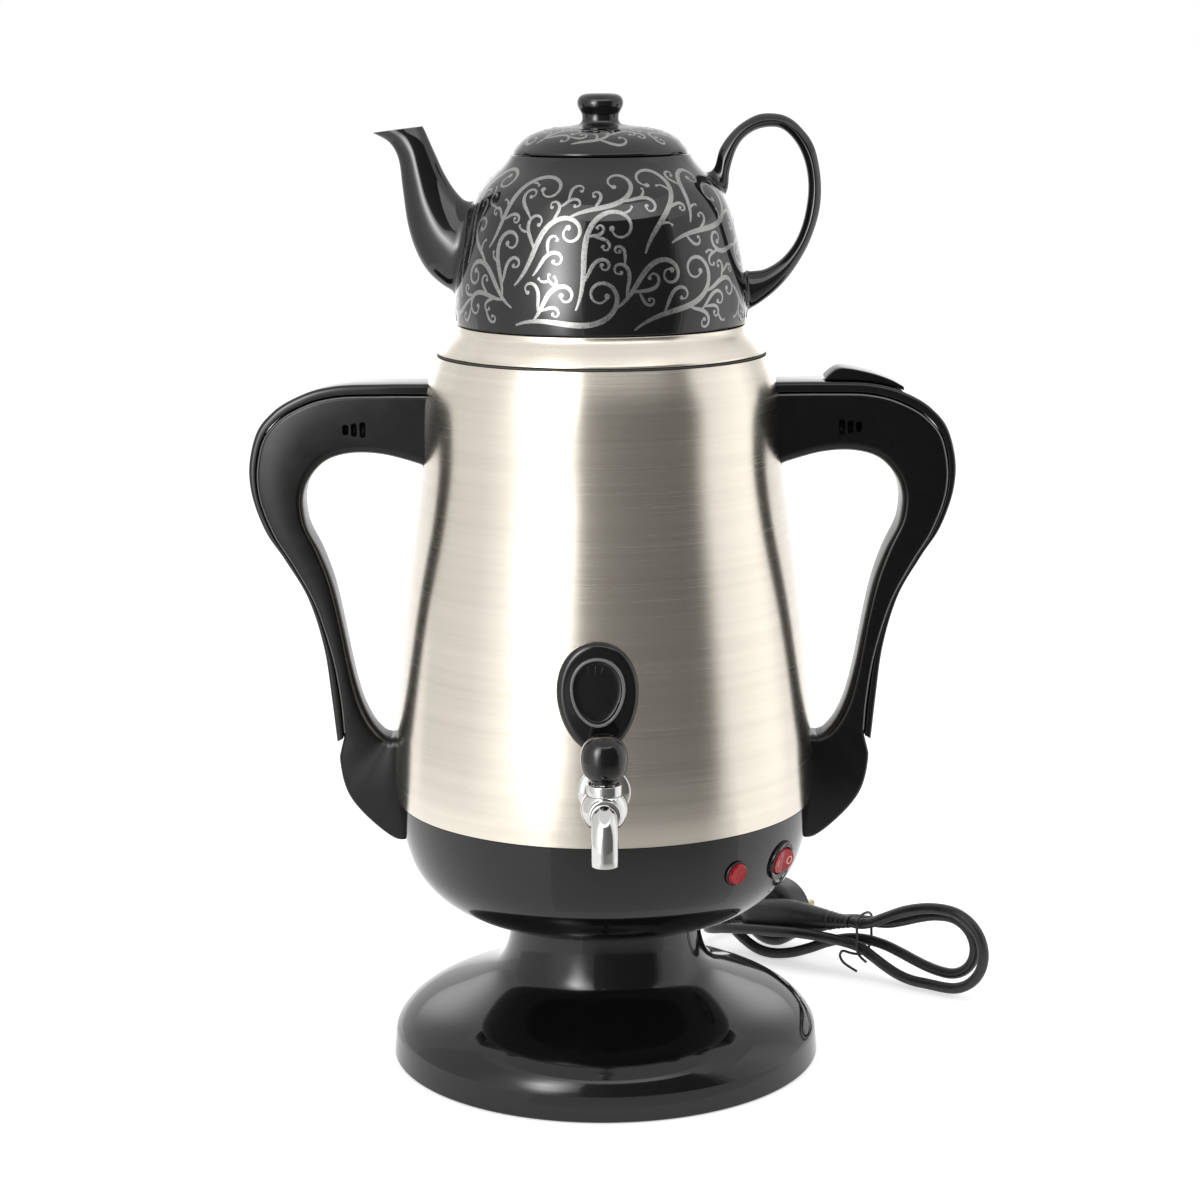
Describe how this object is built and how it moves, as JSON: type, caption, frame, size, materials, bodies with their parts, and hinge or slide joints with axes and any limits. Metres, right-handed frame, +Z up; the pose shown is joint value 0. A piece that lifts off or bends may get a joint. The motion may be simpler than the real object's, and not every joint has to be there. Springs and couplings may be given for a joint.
{
  "type": "electric samovar",
  "caption": "Steel electric samovar on a round pedestal with a tap, side handles, a lift-off lid and a teapot on top, its mains cord tied in a hank.",
  "frame": {"origin": "on the vertical axis of the tank, at the floor under the base plate", "axes": "+Z up, -Y out along the tap towards the user, +X to the right as the user sees it"},
  "size_m": [0.3878, 0.3558, 0.4949],
  "materials": {
    "brushed_steel": "brushed, satin",
    "gloss_black": "polished",
    "satin_black": "satin",
    "black_glaze": "glossy glaze with pale scroll drawing",
    "chrome": "mirror",
    "red_clear": "clear red",
    "pad_rubber": "matt",
    "seal_rubber": "matt",
    "zinc_steel": "zinc plated",
    "brass": "plain",
    "cord_black": "soft sheen"
  },
  "bodies": {
    "samovar": {"base_foot": "gloss_black", "base_plate": "satin_black", "bowl_housing": "gloss_black", "centre_stud": "zinc_steel", "cord_gland": "cord_black", "cord_hank": "cord_black", "cord_lead": "cord_black", "front_badge": "satin_black", "gland_nut": "satin_black", "heating_element": "zinc_steel", "lamp_bezel": "satin_black", "lamp_lens": "red_clear", "lamp_nut": "satin_black", "left_handle_grip": "satin_black", "left_handle_screw_lower": "zinc_steel", "left_handle_screw_upper": "zinc_steel", "left_handle_strip": "gloss_black", "left_handle_washer_lower": "seal_rubber", "left_handle_washer_upper": "seal_rubber", "plate_screw_1": "zinc_steel", "plate_screw_2": "zinc_steel", "plate_screw_3": "zinc_steel", "plug_body": "cord_black", "plug_pin_1": "brass", "plug_pin_2": "brass", "right_handle_grip": "satin_black", "right_handle_screw_lower": "zinc_steel", "right_handle_screw_upper": "zinc_steel", "right_handle_strip": "gloss_black", "right_handle_washer_lower": "seal_rubber", "right_handle_washer_upper": "seal_rubber", "rubber_pad_1": "pad_rubber", "rubber_pad_2": "pad_rubber", "rubber_pad_3": "pad_rubber", "rubber_pad_4": "pad_rubber", "stud_nut": "zinc_steel", "switch_housing": "satin_black", "tank_bottom": "brushed_steel", "tank_shell": "brushed_steel", "tap_body": "chrome", "tap_bonnet": "chrome", "tap_flange": "chrome", "tap_nut": "brass", "tap_seal": "seal_rubber", "tap_spout": "chrome", "terminal_block": "satin_black", "thermal_fuse": "brass", "thermostat": "satin_black", "thumb_rest": "satin_black", "twist_tie": "cord_black"},
    "lid": {"top_lid": "brushed_steel", "lid_collar": "brushed_steel", "lid_seal": "seal_rubber"},
    "teapot": {"teapot_body": "black_glaze"},
    "teapot_cover": {"teapot_lid": "black_glaze"},
    "tap_valve": {"tap_knob": "gloss_black", "valve_plug": "brass"},
    "rocker": {"switch_rocker": "red_clear"}
  },
  "joints": [
    {"name": "lid_lift", "type": "slide", "parent": "samovar", "child": "lid", "axis": [0, 0, 1], "range_m": [0, 0.08]},
    {"name": "teapot_lift", "type": "slide", "parent": "lid", "child": "teapot", "axis": [0, 0, 1], "range_m": [0, 0.12]},
    {"name": "teapot_cover_lift", "type": "slide", "parent": "teapot", "child": "teapot_cover", "axis": [0, 0, 1], "range_m": [0, 0.06]},
    {"name": "tap_turn", "type": "hinge", "parent": "samovar", "child": "tap_valve", "pos_m": [0, -0.13988, 0.168], "axis": [0, 0, 1], "range_deg": [0, 90]},
    {"name": "rocker_press", "type": "hinge", "parent": "samovar", "child": "rocker", "pos_m": [0.08676, -0.05337, 0.11733], "axis": [-0.1874, 0.1153, -0.9755], "range_deg": [0, 18]}
  ]
}
